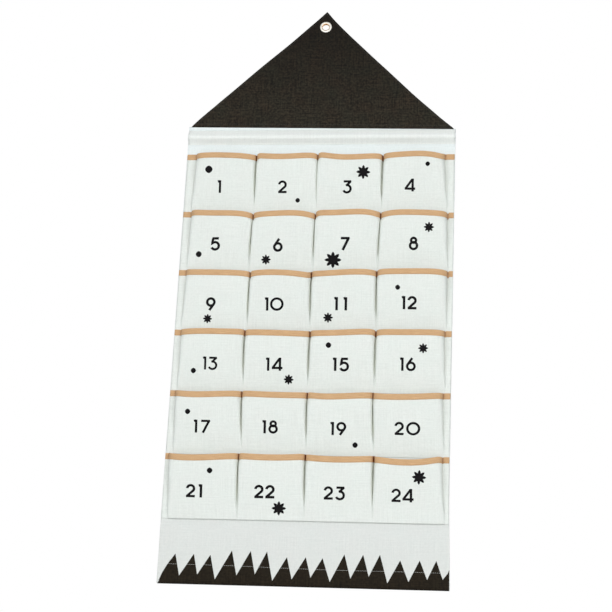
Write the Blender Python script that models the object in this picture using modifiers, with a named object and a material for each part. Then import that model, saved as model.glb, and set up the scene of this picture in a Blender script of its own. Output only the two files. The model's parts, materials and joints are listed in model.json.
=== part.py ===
"""A pocket advent calendar: a canvas panel with a dark cloth gable and six rows of pockets.

Units are metres, +Z is up and the front faces -Y. The origin is the centre of the hanging
eyelet. The gable folds over at the seam below it, so everything under that seam is drawn
from the fold line and parented to an empty there.
"""

import math

import bmesh
import bpy
from mathutils import Matrix

MM = 0.001

# Cloth, tape and the clearance that neighbouring pieces keep
CLOTH = 0.7 * MM
TAPE = 0.6 * MM
GAP = 0.3 * MM
OVERRUN = 4.0 * MM  # how far a cutter reaches past what it cuts
MERGE_WITHIN = 0.01 * MM
SHARP_ABOVE = math.radians(40.0)

# Pockets: four in a row, six rows
ROWS = 6
POCKETS = 4
POCKET_WIDTH = 108.75 * MM
SIDE_STRIP = 12.5 * MM  # flat cloth beside the outer pockets
ROW_PITCH = 105.4 * MM
FIRST_MOUTH = 55.0 * MM  # from the fold line down to the middle of the first binding
FOOT_BAND = 102.6 * MM  # plain cloth below the last row
BINDING_WIDTH = 10.0 * MM

# How far a pocket stands open, and how it closes towards its sewn foot
MOUTH_DEPTH = 20.0 * MM
FOOT_DEPTH = 2.4 * MM
MOUTH_SAG = 8.0 * MM
PLEAT_HALF_TOP = 1.9 * MM  # half of the slit between two pockets
PLEAT_HALF_FOOT = 0.7 * MM
FLANK_POWER = 5.0  # a higher power gives squarer pocket corners
FRONT_POWER = 3.0
POCKET_STEPS = 8

# One row of shares for each row of pockets, left to right
MOUTH_DEPTH_SHARES = (
    (0.85, 0.85, 0.85, 1.00),
    (0.90, 1.00, 1.00, 1.00),
    (0.75, 1.00, 1.00, 1.00),
    (0.85, 0.85, 0.90, 0.85),
    (0.85, 0.85, 0.85, 0.85),
    (0.85, 0.85, 0.85, 0.85),
)
MOUTH_SAG_SHARES = (
    (0.25, 0.60, 0.80, 0.22),
    (0.45, 0.56, 0.34, 0.38),
    (0.55, 0.72, 0.53, 0.29),
    (0.34, 0.59, 0.39, 0.18),
    (0.66, 0.65, 0.80, 0.71),
    (0.74, 0.54, 0.69, 1.09),
)
# Down the pocket from its binding to its foot: share of the height, share of the depth
POCKET_DROP_SHARES = ((0.0, 1.0), (0.32, 0.80), (0.68, 0.40), (1.0, 0.0))

# Gable, folded double round the roll at its foot
GABLE_HEIGHT = 225.5 * MM
GABLE_INSET = 3.0 * MM  # how much narrower than the panel it is on each side
APEX_ABOVE_EYELET = 31.0 * MM
ROLL_RADIUS = 2.0 * MM
ROLL_SIDES = 16

# Eyelet and its washer
EYELET_HOLE_RADIUS = 6.0 * MM
EYELET_RADIUS = 10.4 * MM
EYELET_WALL = 0.5 * MM
EYELET_CROWN = 1.3 * MM
LIP_RADIUS = 8.4 * MM
LIP_HEIGHT = 0.8 * MM
WASHER_RADIUS = 10.0 * MM
WASHER_THICKNESS = 0.6 * MM
WASHER_EDGE_SHARE = 0.25  # of its thickness, broken off the rim
EYELET_STEPS = 28

# Dowels and the sleeves that hold them
ROD_RADIUS = 4.0 * MM
ROD_INSET = 20.0 * MM  # how far each rod stops short of the panel's side
ROD_SIDES = 20
ROD_CHAMFER = 0.6 * MM
TOP_ROD_DROP = 19.0 * MM
SLEEVE_TOP_DROP = 3.7 * MM
SLEEVE_FLANGE = 2.6 * MM
SLEEVE_TURN = math.radians(65.0)  # how far round the rod the cloth lies
SLEEVE_STEPS = 6
HEM_HEIGHT = 36.0 * MM
SIDE_HEM = 13.0 * MM

# Worked out from the above
PANEL_WIDTH = POCKETS * POCKET_WIDTH + 2 * SIDE_STRIP
PANEL_HEIGHT = FIRST_MOUTH + ROWS * ROW_PITCH + FOOT_BAND
GABLE_WIDTH = PANEL_WIDTH - 2 * GABLE_INSET
FOLD_LINE = APEX_ABOVE_EYELET - GABLE_HEIGHT
LAYER = CLOTH + GAP
BINDING_RISE = BINDING_WIDTH / 2
BINDING_REACH = CLOTH / 2 + GAP + TAPE / 2  # from the pocket cloth's middle to the tape's
SEAT_AT_MOUTH = CLOTH + 2 * GAP + TAPE  # how far the pocket cloth lies before the panel
SLEEVE_RADIUS = ROD_RADIUS + GAP + CLOTH / 2

CANVAS = ("canvas", (0.80, 0.85, 0.81), 0.9)
GABLE_CLOTH = ("gable_cloth", (0.026, 0.022, 0.017), 0.85)
COTTON_TAPE = ("cotton_tape", (0.69, 0.38, 0.17), 0.8)
DOWEL_WOOD = ("dowel_wood", (0.55, 0.38, 0.21), 0.6)
EYELET_METAL = ("eyelet_metal", (0.78, 0.72, 0.60), 0.35)


def clear_scene():
    for item in list(bpy.data.objects):
        bpy.data.objects.remove(item, do_unlink=True)


def new_collection(name):
    collection = bpy.data.collections.new(name)
    bpy.context.scene.collection.children.link(collection)
    return collection


def finish_material(finish):
    """One Principled material for each finish, metallic for the eyelet."""
    name, colour, roughness = finish
    material = bpy.data.materials.get(name)
    if material is None:
        material = bpy.data.materials.new(name)
        material.use_nodes = True
        shader = material.node_tree.nodes["Principled BSDF"]
        shader.inputs["Base Color"].default_value = (*colour, 1.0)
        shader.inputs["Roughness"].default_value = roughness
        shader.inputs["Metallic"].default_value = 1.0 if finish is EYELET_METAL else 0.0
    return material


def add_piece(name, mesh, finish, collection, parent=None):
    piece = bpy.data.objects.new(name, mesh)
    piece.data.materials.append(finish_material(finish))
    piece.parent = parent
    collection.objects.link(piece)
    return piece


def mesh_of(shape, name):
    mesh = bpy.data.meshes.new(name)
    shape.to_mesh(mesh)
    shape.free()
    return mesh


def cloth_sheet(columns, rows, place, name):
    """A grid whose points place(column, row) sets, still without its thickness."""
    shape = bmesh.new()
    bmesh.ops.create_grid(shape, x_segments=columns, y_segments=rows, size=1.0)
    for point in shape.verts:
        column = round((point.co.x + 1) / 2 * columns)
        row = round((1 - point.co.y) / 2 * rows)
        point.co = place(column, row)
    return mesh_of(shape, name)


def thicken(piece, thickness):
    solidify = piece.modifiers.new("thickness", "SOLIDIFY")
    solidify.thickness = thickness
    solidify.offset = 0.0
    solidify.use_even_offset = True
    solidify.use_quality_normals = True


def join_or_cut(piece, other, operation):
    boolean = piece.modifiers.new(operation.lower(), "BOOLEAN")
    boolean.operation = operation
    boolean.solver = "EXACT"
    boolean.object = other


def tool_object(name, mesh, tools, parent=None):
    """A shape that joins or cuts another and isn't a piece itself."""
    tool = bpy.data.objects.new(name, mesh)
    tool.parent = parent
    tool.hide_render = True
    tool.display_type = "WIRE"
    tools.objects.link(tool)
    return tool


def rod_mesh(name, radius, length, sides, chamfer=0.0):
    """A round bar along X, centred on its own origin."""
    shape = bmesh.new()
    bmesh.ops.create_cone(
        shape, cap_ends=True, segments=sides, radius1=radius, radius2=radius, depth=length
    )
    if chamfer:
        ends = [e for e in shape.edges if abs(e.calc_face_angle() - math.pi / 2) < math.radians(1)]
        bmesh.ops.bevel(
            shape, geom=ends, offset=chamfer, segments=1, affect="EDGES", profile=0.5
        )
    bmesh.ops.rotate(shape, verts=shape.verts, matrix=Matrix.Rotation(math.pi / 2, 3, "Y"))
    mesh = mesh_of(shape, name)
    mesh.shade_smooth()
    mesh.set_sharp_from_angle(angle=SHARP_ABOVE)
    return mesh


# Gable


def gable_half_width(height):
    """Half of the gable's width, at a height over the fold line."""
    return GABLE_WIDTH / 2 * (1 - height / GABLE_HEIGHT)


def gable_sheet(name, middle_y, foot):
    """One layer of the gable: a triangle cut off level at its foot, drawn from the eyelet."""
    shape = bmesh.new()
    corners = (
        (-gable_half_width(foot), FOLD_LINE + foot),
        (gable_half_width(foot), FOLD_LINE + foot),
        (0.0, APEX_ABOVE_EYELET),
    )
    front_y = middle_y - CLOTH / 2
    outline = [shape.verts.new((x, front_y, z)) for x, z in corners]
    front = shape.faces.new(outline)
    grown = bmesh.ops.extrude_face_region(shape, geom=[front], use_keep_orig=True)
    new_points = [v for v in grown["geom"] if isinstance(v, bmesh.types.BMVert)]
    bmesh.ops.translate(shape, verts=new_points, vec=(0.0, CLOTH, 0.0))
    bmesh.ops.recalc_face_normals(shape, faces=shape.faces)
    return mesh_of(shape, name)


def make_gable(parts, tools):
    """Two layers of dark cloth; the front one is rolled under at the fold line."""
    hole_radius = EYELET_HOLE_RADIUS + EYELET_WALL + GAP
    hole_length = LAYER + CLOTH + 2 * OVERRUN
    hole = rod_mesh("eyelet_hole_cut", hole_radius, hole_length, EYELET_STEPS)
    hole.transform(Matrix.Rotation(math.pi / 2, 4, "Z"))
    hole_cut = tool_object("eyelet_hole_cut", hole, tools)

    front = add_piece("gable_front", gable_sheet("gable_front", -LAYER / 2, 0.0), GABLE_CLOTH, parts)
    roll_bar = rod_mesh("gable_roll", ROLL_RADIUS, GABLE_WIDTH, ROLL_SIDES)
    roll = tool_object("gable_roll", roll_bar, tools)
    roll.location = (0.0, 0.0, FOLD_LINE)
    join_or_cut(front, roll, "UNION")
    join_or_cut(front, hole_cut, "DIFFERENCE")

    back_foot = ROLL_RADIUS + CLOTH + 2 * GAP  # clear of the panel when it folds up behind
    back = add_piece("gable_back", gable_sheet("gable_back", LAYER / 2, back_foot), GABLE_CLOTH, parts)
    join_or_cut(back, hole_cut, "DIFFERENCE")


def turned_piece(name, profile, parts):
    """A closed profile of (radius, y) points turned about the eyelet's axis."""
    shape = bmesh.new()
    points = [shape.verts.new((radius, y, 0.0)) for radius, y in profile]
    for index, point in enumerate(points):
        shape.edges.new((point, points[index - 1]))
    piece = add_piece(name, mesh_of(shape, name), EYELET_METAL, parts)
    screw = piece.modifiers.new("turn", "SCREW")
    screw.axis = "Y"
    screw.angle = 2 * math.pi
    screw.steps = EYELET_STEPS
    screw.render_steps = EYELET_STEPS
    screw.use_merge_vertices = True
    screw.merge_threshold = MERGE_WITHIN
    screw.use_smooth_shade = True
    screw.use_normal_flip = True
    return piece


def make_eyelet(parts):
    """A flanged barrel from the front, rolled over a washer at the back."""
    cloth_face = LAYER / 2 + CLOTH / 2
    inner = EYELET_HOLE_RADIUS
    barrel = EYELET_HOLE_RADIUS + EYELET_WALL
    flange_y = -cloth_face - GAP
    washer_front = cloth_face + GAP
    lip_y = washer_front + WASHER_THICKNESS + GAP
    flange_width = EYELET_RADIUS - barrel
    lip_width = LIP_RADIUS - barrel
    # (share of the flange's width, share of the crown's height)
    crown_shares = ((1.0, 0.25), (0.85, 0.75), (0.5, 1.0), (0.15, 0.85))
    # (share of the lip's width, share of the lip's height)
    lip_shares = ((0.0, 0.75), (0.45, 1.0), (0.85, 0.75), (1.0, 0.0))

    profile = [(inner, flange_y - EYELET_CROWN / 2), (inner, lip_y)]
    profile += [(barrel + lip_width * w, lip_y + LIP_HEIGHT * h) for w, h in lip_shares]
    profile += [(barrel, lip_y), (barrel, flange_y)]
    profile += [(barrel + flange_width * w, flange_y - EYELET_CROWN * h) for w, h in crown_shares]
    turned_piece("eyelet", profile, parts)

    hole = barrel + GAP
    edge = WASHER_THICKNESS * WASHER_EDGE_SHARE
    back = washer_front + WASHER_THICKNESS
    washer = (
        (hole, washer_front),
        (hole, back),
        (WASHER_RADIUS - edge, back),
        (WASHER_RADIUS, back - edge),
        (WASHER_RADIUS, washer_front),
    )
    turned_piece("eyelet_washer", washer, parts)


# Panel, sleeve and dowels


def path_sheet(path, width, name):
    """Cloth that follows a path of (y, z) points and is as wide as the width along X."""

    def place(column, row):
        y, z = path[row]
        return ((column - 0.5) * width, y, z)

    return cloth_sheet(1, len(path) - 1, place, name)


def around_rod(rod_y, rod_z, side, first_turn, steps):
    """Points round a rod, from first_turn up to SLEEVE_TURN above the level of the rod.

    side is -1 for cloth on the rod's front and +1 for cloth on its back.
    """
    points = []
    for step in range(steps + 1):
        turn = first_turn + (SLEEVE_TURN - first_turn) * step / steps
        y = rod_y + side * SLEEVE_RADIUS * math.cos(turn)
        z = rod_z + SLEEVE_RADIUS * math.sin(turn)
        points.append((y, z))
    return points


def landing_rise(clear):
    """How far over the rod's middle the straight cloth off the rod meets a flat layer.

    clear is the distance from the flat layer to the rod's middle.
    """
    run = clear + SLEEVE_RADIUS * math.cos(SLEEVE_TURN)
    return SLEEVE_RADIUS * math.sin(SLEEVE_TURN) + run / math.tan(SLEEVE_TURN)


def make_panel(parts, tools, fold):
    """The backing canvas; its foot turns round the bottom rod and is sewn up behind."""
    rod_z = -PANEL_HEIGHT + CLOTH / 2 + SLEEVE_RADIUS
    rod_y = SLEEVE_RADIUS
    turned = around_rod(rod_y, rod_z, 1, -math.pi, SLEEVE_STEPS * 2)
    rise = landing_rise(rod_y - LAYER)
    hem_top = -PANEL_HEIGHT + HEM_HEIGHT
    top = -ROLL_RADIUS - GAP
    path = [(0.0, top)] + turned + [(LAYER, rod_z + rise), (LAYER, hem_top)]
    panel = add_piece(
        "backing_panel", path_sheet(path, PANEL_WIDTH, "backing_panel"), CANVAS, parts, fold
    )
    thicken(panel, CLOTH)
    foot = hem_top + GAP
    for side, name in ((-1, "side_hem_left"), (1, "side_hem_right")):
        shape = bmesh.new()
        bmesh.ops.create_cube(shape, size=1.0)
        hem_size = (SIDE_HEM, LAYER, top - foot)
        bmesh.ops.scale(shape, verts=shape.verts, vec=hem_size)
        middle = (side * (PANEL_WIDTH - SIDE_HEM) / 2, CLOTH / 2 - GAP + LAYER / 2, (top + foot) / 2)
        bmesh.ops.translate(shape, verts=shape.verts, vec=middle)
        join_or_cut(panel, tool_object(name, mesh_of(shape, name), tools, fold), "UNION")
    return rod_y, rod_z


def make_top_sleeve(parts, fold):
    """A band of canvas sewn on above and below the top rod."""
    rod_y = -(CLOTH / 2 + GAP + ROD_RADIUS)
    rod_z = -TOP_ROD_DROP
    rise = landing_rise(-rod_y - LAYER)
    foot = rod_z - rise - SLEEVE_FLANGE
    path = [(-LAYER, foot), (-LAYER, rod_z - rise)]
    path += around_rod(rod_y, rod_z, -1, -SLEEVE_TURN, SLEEVE_STEPS)
    path += [(-LAYER, rod_z + rise), (-LAYER, -SLEEVE_TOP_DROP)]
    sleeve = add_piece(
        "top_sleeve", path_sheet(path, PANEL_WIDTH, "top_sleeve"), CANVAS, parts, fold
    )
    thicken(sleeve, CLOTH)
    return rod_y, rod_z


def make_rod(name, middle_y, middle_z, parts, fold):
    mesh = rod_mesh(name, ROD_RADIUS, PANEL_WIDTH - 2 * ROD_INSET, ROD_SIDES, ROD_CHAMFER)
    rod = add_piece(name, mesh, DOWEL_WOOD, parts, fold)
    rod.location = (0.0, middle_y, middle_z)


# Pockets


def binding_middle(row):
    """Height of the middle of a row's binding, from the fold line."""
    return -(FIRST_MOUTH + row * ROW_PITCH)


def across_row(row, pleat_half):
    """Points across a row of pockets: (x, share of the depth, pocket depth, pocket sag).

    Each pocket front is a squared-off round; beside it the cloth lies flat on the panel.
    """
    half_front = POCKET_WIDTH / 2 - pleat_half
    points = [(-PANEL_WIDTH / 2, 0.0, 0.0, 0.0)]
    for pocket in range(POCKETS):
        middle = (pocket - (POCKETS - 1) / 2) * POCKET_WIDTH
        depth = MOUTH_DEPTH * MOUTH_DEPTH_SHARES[row][pocket]
        sag = MOUTH_SAG * MOUTH_SAG_SHARES[row][pocket]
        for step in range(POCKET_STEPS + 1):
            turn = math.pi * (1 - step / POCKET_STEPS)
            across = math.copysign(abs(math.cos(turn)) ** (2 / FLANK_POWER), math.cos(turn))
            forward = abs(math.sin(turn)) ** (2 / FRONT_POWER)
            if step in (0, POCKET_STEPS):
                forward = 0.0
            points.append((middle + half_front * across, forward, depth, sag))
    points.append((PANEL_WIDTH / 2, 0.0, 0.0, 0.0))
    return points


def make_pocket_row(row, parts, fold):
    """One strip of canvas pleated into four pockets and sewn down at its foot."""
    top = binding_middle(row) + BINDING_RISE - TAPE - GAP
    tape_foot = binding_middle(row) - BINDING_RISE
    foot = binding_middle(row + 1) + BINDING_RISE + GAP
    drops = [(top, 0.0, 1.0)]
    drops += [(tape_foot + (foot - tape_foot) * d, d, open_) for d, open_ in POCKET_DROP_SHARES]

    def place(column, line):
        height, down, open_share = drops[line]
        pleat_half = PLEAT_HALF_TOP + (PLEAT_HALF_FOOT - PLEAT_HALF_TOP) * down
        seat = SEAT_AT_MOUTH + (LAYER - SEAT_AT_MOUTH) * down
        x, forward, depth, sag = across_row(row, pleat_half)[column]
        depth_here = FOOT_DEPTH + (depth - FOOT_DEPTH) * open_share
        return (x, -seat - forward * depth_here, height - sag * forward * (1 - down))

    columns = POCKETS * (POCKET_STEPS + 1) + 1
    name = f"pocket_row_{row + 1}"
    mesh = cloth_sheet(columns, len(drops) - 1, place, name)
    thicken(add_piece(name, mesh, CANVAS, parts, fold), CLOTH)


def make_binding(row, parts, fold):
    """Cotton tape folded over the top edge of a pocket strip, front and back."""
    middle = binding_middle(row)
    crest = middle + BINDING_RISE - TAPE / 2
    hem = middle - BINDING_RISE
    line = across_row(row, PLEAT_HALF_TOP)
    spots = [(x, -SEAT_AT_MOUTH - forward * depth) for x, forward, depth, _ in line]
    leaves = ((BINDING_REACH, hem), (BINDING_REACH, crest), (-BINDING_REACH, crest), (-BINDING_REACH, hem))

    def outward(column):
        """The corner offset that keeps both neighbouring stretches at an even distance."""
        normals = []
        for first in (column - 1, column):
            if 0 <= first < len(spots) - 1:
                run_x = spots[first + 1][0] - spots[first][0]
                run_y = spots[first + 1][1] - spots[first][1]
                length = math.hypot(run_x, run_y)
                normals.append((run_y / length, -run_x / length))
        sum_x = sum(n[0] for n in normals)
        sum_y = sum(n[1] for n in normals)
        spread = (sum_x * sum_x + sum_y * sum_y) / len(normals)
        return sum_x / spread, sum_y / spread

    def place(column, edge):
        reach, height = leaves[edge]
        out_x, out_y = outward(column)
        x, y = spots[column]
        _, forward, _, sag = line[column]
        return (x + out_x * reach, y + out_y * reach, height - sag * forward)

    name = f"binding_{row + 1}"
    mesh = cloth_sheet(len(spots) - 1, len(leaves) - 1, place, name)
    thicken(add_piece(name, mesh, COTTON_TAPE, parts, fold), TAPE)


def build():
    clear_scene()
    parts = new_collection("pocket_advent_calendar")
    tools = new_collection("cutters")
    fold = bpy.data.objects.new("fold_line", None)
    fold.location = (0.0, 0.0, FOLD_LINE)
    parts.objects.link(fold)

    make_gable(parts, tools)
    make_eyelet(parts)
    bottom_rod_place = make_panel(parts, tools, fold)
    top_rod_place = make_top_sleeve(parts, fold)
    make_rod("top_rod", *top_rod_place, parts, fold)
    make_rod("bottom_rod", *bottom_rod_place, parts, fold)
    for row in range(ROWS):
        make_pocket_row(row, parts, fold)
        make_binding(row, parts, fold)


build()
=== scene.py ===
import json
import math

import bmesh
import bpy
import numpy as np
from mathutils import Matrix, Vector


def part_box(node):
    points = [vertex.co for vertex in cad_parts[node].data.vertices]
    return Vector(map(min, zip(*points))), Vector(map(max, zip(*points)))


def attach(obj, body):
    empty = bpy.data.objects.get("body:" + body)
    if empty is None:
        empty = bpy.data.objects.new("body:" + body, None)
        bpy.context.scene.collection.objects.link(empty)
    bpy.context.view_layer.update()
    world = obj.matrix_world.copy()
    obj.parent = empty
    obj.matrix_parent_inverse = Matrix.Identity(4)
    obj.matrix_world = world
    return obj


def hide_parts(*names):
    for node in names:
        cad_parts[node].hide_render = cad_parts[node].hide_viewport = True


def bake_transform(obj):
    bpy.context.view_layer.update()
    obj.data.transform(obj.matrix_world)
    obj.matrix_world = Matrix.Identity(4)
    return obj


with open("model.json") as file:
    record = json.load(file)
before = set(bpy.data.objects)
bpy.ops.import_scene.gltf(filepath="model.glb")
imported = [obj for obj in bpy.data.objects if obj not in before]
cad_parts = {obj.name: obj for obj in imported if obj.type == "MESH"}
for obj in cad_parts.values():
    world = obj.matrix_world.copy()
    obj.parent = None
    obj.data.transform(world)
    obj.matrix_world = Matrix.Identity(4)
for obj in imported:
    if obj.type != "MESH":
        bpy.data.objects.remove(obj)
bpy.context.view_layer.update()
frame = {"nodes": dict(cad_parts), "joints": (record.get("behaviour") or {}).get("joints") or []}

mm = 0.001


# small helpers

def smooth(low, high, value):
    # from 0 at low to 1 at high, eased at both ends; high may be the smaller one
    share = np.clip((value - low) / (high - low), 0, 1)
    return share * share * (3 - 2 * share)


def readPoints(mesh):
    points = np.zeros(len(mesh.vertices) * 3)
    mesh.vertices.foreach_get("co", points)
    return points.reshape(-1, 3)


def writePoints(mesh, points):
    mesh.vertices.foreach_set("co", np.asarray(points, float).ravel())
    mesh.update()


def joined(x, y, z):
    return np.stack([x, y, z], 1)


def travelAlong(points):
    # how far along their line each of the points lies
    return np.concatenate([[0], np.cumsum(np.linalg.norm(np.diff(points, axis=0), axis=1))])


def takeMesh(shape, name):
    mesh = bpy.data.meshes.new(name)
    shape.to_mesh(mesh)
    shape.free()
    return mesh


def addPiece(name, mesh, material, body=None):
    piece = bpy.data.objects.new(name, mesh)
    piece.data.materials.append(material)
    bpy.context.scene.collection.objects.link(piece)
    if body:
        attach(piece, body)
    return piece


def setMap(mesh, name, flat):
    # the map "flat" holds the cloth's flat measures in metres, so every weave has its real size
    layer = mesh.uv_layers.new(name=name)
    corners = np.zeros(len(mesh.loops), int)
    mesh.loops.foreach_get("vertex_index", corners)
    layer.data.foreach_set("uv", flat[corners].ravel())


def bakeModifiers(piece):
    graph = bpy.context.evaluated_depsgraph_get()
    mesh = bpy.data.meshes.new_from_object(piece.evaluated_get(graph))
    piece.modifiers.clear()
    piece.data = mesh


def clothGrid(name, across, down, place, material, thickness=0.0, creaseShadeMask=None):
    # across and down are flat measures; place(column, row) gives where each point hangs
    shape = bmesh.new()
    columns, rows = len(across) - 1, len(down) - 1
    bmesh.ops.create_grid(shape, x_segments=columns, y_segments=rows, size=1)
    mesh = takeMesh(shape, name)
    spots = readPoints(mesh)
    column = np.rint((spots[:, 0] + 1) / 2 * columns).astype(int)
    row = np.rint((1 - spots[:, 1]) / 2 * rows).astype(int)
    setMap(mesh, "flat", np.stack([np.asarray(across)[column], -np.asarray(down)[row]], 1))
    if creaseShadeMask is not None:
        # how far each point lies inside a fold, for the painted shade there
        inside = creaseShadeMask[column, row]
        setMap(mesh, "crease", np.stack([inside, 0 * inside], 1))
    writePoints(mesh, place(column, row))
    mesh.shade_smooth()
    piece = addPiece(name, mesh, material)
    if thickness:
        solid = piece.modifiers.new("thickness", "SOLIDIFY")
        solid.thickness = thickness
        solid.offset = 0
        solid.use_even_offset = True
        bakeModifiers(piece)
    return piece


def waves(x, z, length, seed, count=7):
    # smooth uneven ripples of about the given length, from -1 to 1
    chance = np.random.default_rng(seed)
    total = 0
    for _ in range(count):
        turn = chance.uniform(0, 2 * math.pi)
        rate = 2 * math.pi / length * chance.uniform(0.6, 1.5)
        start = chance.uniform(0, 2 * math.pi)
        total = total + np.sin(rate * (x * math.cos(turn) + z * math.sin(turn)) + start)
    return total / count * 1.6


# sizes of the calendar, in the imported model's frame

foldZ = [joint for joint in frame["joints"] if joint["name"] == "gable_fold"][0]["pos_m"][2]
panelLow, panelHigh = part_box("backing_panel")
halfWidth = panelHigh.x
footZ = panelLow.z
topRodLow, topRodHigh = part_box("top_rod")
footRodLow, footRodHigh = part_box("bottom_rod")
cloth = 0.7 * mm

pockets = {
    "rows": 6,
    "perRow": 4,
    "width": 108.75 * mm,
    "pitch": 105.4 * mm,
    "firstMouth": 55.0 * mm,
    "halfTape": 5.0 * mm,
    "clearance": 0.3 * mm,
    # how far each mouth stands forward, in mm
    "mouthDepth": [
        (17.0, 17.0, 17.0, 20.0),
        (18.0, 20.0, 20.0, 20.0),
        (15.0, 20.0, 20.0, 20.0),
        (17.0, 17.0, 18.0, 17.0),
        (17.0, 17.0, 17.0, 17.0),
        (17.0, 17.0, 17.0, 17.0),
    ],
    "footDepth": 1.5 * mm,
    "footBelowSeam": 1.5 * mm,
    "lastFootDrop": 4.4 * mm,
    "seatTop": 2.15 * mm,
    "seatFoot": 0.6 * mm,
    "pleatTop": 1.5 * mm,
    "pleatFoot": 0.05 * mm,
    "tapeRoom": 0.95 * mm,
    # how square the pockets are across, at the mouth and below it
    "flankPower": 5.5,
    "flankPowerBelow": 40.0,
    "outerPower": 4.0,
    "outerPowerBelow": 18.0,
    "frontPower": 3.0,
    "closing": 1.15,
    # height and length of the face's broad and fine ripples
    "broadRipple": (0.55 * mm, 0.085),
    "fineRipple": (0.18 * mm, 0.026),
    # points across each pocket and down its face, and the curve's depth that spaces them
    "steps": 58,
    "lines": 46,
    "curveDepth": 14 * mm,
}
seamPlaces = (np.arange(pockets["perRow"] + 1) - pockets["perRow"] / 2) * pockets["width"]

# how far each mouth droops at five places across it, in tenths of a millimetre
mouthDroop = [
    [(29, 27, 32, 41, 61), (43, 55, 65, 43, 39), (33, 63, 79, 63, 55), (53, 40, 29, 32, 61)],
    [(30, 46, 49, 53, 70), (80, 66, 64, 57, 83), (47, 49, 44, 32, 53), (62, 41, 44, 47, 52)],
    [(47, 47, 59, 53, 66), (76, 65, 72, 79, 107), (84, 78, 55, 55, 54), (40, 39, 35, 35, 38)],
    [(43, 42, 31, 44, 38), (49, 53, 57, 64, 68), (58, 59, 40, 39, 24), (26, 32, 24, 30, 28)],
    [(59, 74, 60, 61, 50), (47, 59, 60, 68, 65), (70, 76, 81, 59, 55), (68, 73, 69, 60, 46)],
    [(71, 73, 78, 55, 46), (44, 48, 61, 46, 40), (52, 67, 65, 65, 54), (71, 88, 97, 83, 50)],
]
# how far each row's five seams stand from their even places, in mm, at the mouth and at the foot
seamWander = np.array([
    [(4.5, 2.0), (0.2, 0.4), (-2.8, -2.0), (0.1, -0.3), (-3.2, -0.2)],
    [(2.0, 1.7), (0.6, -3.4), (-2.1, -3.6), (-0.5, -4.2), (3.0, 2.2)],
    [(0.5, -0.8), (1.3, -0.4), (-4.2, -3.6), (-4.0, -2.6), (5.1, 1.8)],
    [(-1.2, 0.0), (-2.3, -0.8), (-2.3, -2.6), (-2.5, -2.3), (2.2, 1.8)],
    [(-3.3, 0.9), (-1.3, 3.1), (-2.3, -0.4), (-3.8, -0.1), (1.4, 2.0)],
    [(-6.8, 0.1), (-0.2, 1.8), (-0.6, 1.5), (0.7, 1.2), (2.3, 4.0)],
]) * mm
# how far each row's top edge is sewn down at its five seams, in mm
seamDrop = np.array([
    (-0.2, 2.6, 2.2, 3.3, 1.2),
    (1.6, 7.5, 6.6, 4.8, 5.4),
    (1.3, 5.7, 3.8, 3.2, 4.0),
    (1.8, 2.1, 3.0, 2.1, 1.2),
    (1.0, 1.9, 2.6, 1.0, 0.9),
    (1.9, 1.1, 0.6, 1.3, 1.8),
]) * mm
# the same for the flat cloth left and right of the outer pockets
stripDrop = np.array(((-0.2, 0.6), (0.8, 1.9), (1.1, 0.9), (1.4, 0.1), (1.0, 0.4), (2.2, 0.8))) * mm
# and how far each of the five seams bows aside half way down
seamBow = np.array((-1.3, -0.7, -0.7, -0.7, 1.2)) * mm
# the gap between two pockets, for each row's five seams: its width at the top and lower down,
# as shares of the usual one, and the share of the height where it closes
pleatShares = np.array([
    [(1.0, 1.0, 0.45), (0.85, 0.75, 0.53), (0.05, 0.0, 0.3), (0.95, 0.8, 0.53), (1.0, 1.0, 0.45)],
    [(1.0, 1.0, 0.45), (0.05, 1.3, 0.8), (0.0, 1.2, 0.82), (0.0, 1.2, 0.78), (1.0, 1.0, 0.45)],
    [(1.0, 1.0, 0.45), (0.4, 1.1, 0.56), (0.7, 1.0, 0.58), (0.45, 1.1, 0.78), (1.0, 1.0, 0.45)],
    [(1.0, 1.0, 0.45), (0.75, 0.85, 0.47), (0.8, 0.8, 0.5), (0.8, 0.9, 0.8), (1.0, 1.0, 0.45)],
    [(1.0, 1.0, 0.45), (0.65, 0.8, 0.38), (0.7, 0.8, 0.43), (0.15, 1.5, 0.5), (1.0, 1.0, 0.45)],
    [(1.0, 1.0, 0.45), (0.45, 1.0, 0.7), (0.85, 0.7, 0.37), (0.95, 0.6, 0.32), (1.0, 1.0, 0.45)],
])
droopPlaces = (-0.8, -0.4, 0.0, 0.4, 0.8)
droopCurves = [[np.polyfit(droopPlaces, pocket, 3) for pocket in row] for row in mouthDroop]
droopCurves = np.array(droopCurves) * 0.1 * mm
mouthDepths = np.array(pockets["mouthDepth"]) * mm

# how much wider than even the panel is cut at its left and right side, above and at its foot
cut = {"left": (1.0 * mm, 0.6 * mm), "right": (0.5 * mm, 3.5 * mm), "from": 0.12, "footBand": 0.16}
sway = {"depth": 1.1 * mm, "length": 0.42, "seed": 11}


def hang(x, z):
    # the whole panel's slight waviness, none at the fold or round the rods
    free = smooth(0.035, 0.11, foldZ - z) * smooth(0.03, 0.11, z - footZ)
    return sway["depth"] * free * waves(x, z, sway["length"], sway["seed"])


def edgeWander(x, z):
    low = smooth(footZ + cut["footBand"], footZ, z)
    left, right = [above + (foot - above) * low for above, foot in (cut["left"], cut["right"])]
    return right * smooth(cut["from"], halfWidth, x) - left * smooth(-cut["from"], -halfWidth, x)


def tapeZ(row):
    return foldZ - pockets["firstMouth"] - pockets["pitch"] * row


def stripEnds(row):
    # height of the tape's lower edge and of the strip's sewn foot
    lower = tapeZ(row) - pockets["halfTape"]
    foot = tapeZ(row + 1) + pockets["halfTape"] + pockets["clearance"]
    if row == pockets["rows"] - 1:
        foot -= pockets["lastFootDrop"]
    return lower, foot


def betweenSeams(x, values):
    # from each seam's value to the next, and to none at the panel's edges
    places = np.concatenate([[-halfWidth], seamPlaces, [halfWidth]])
    return np.interp(x, places, np.concatenate([[0], values, [0]]))


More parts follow.
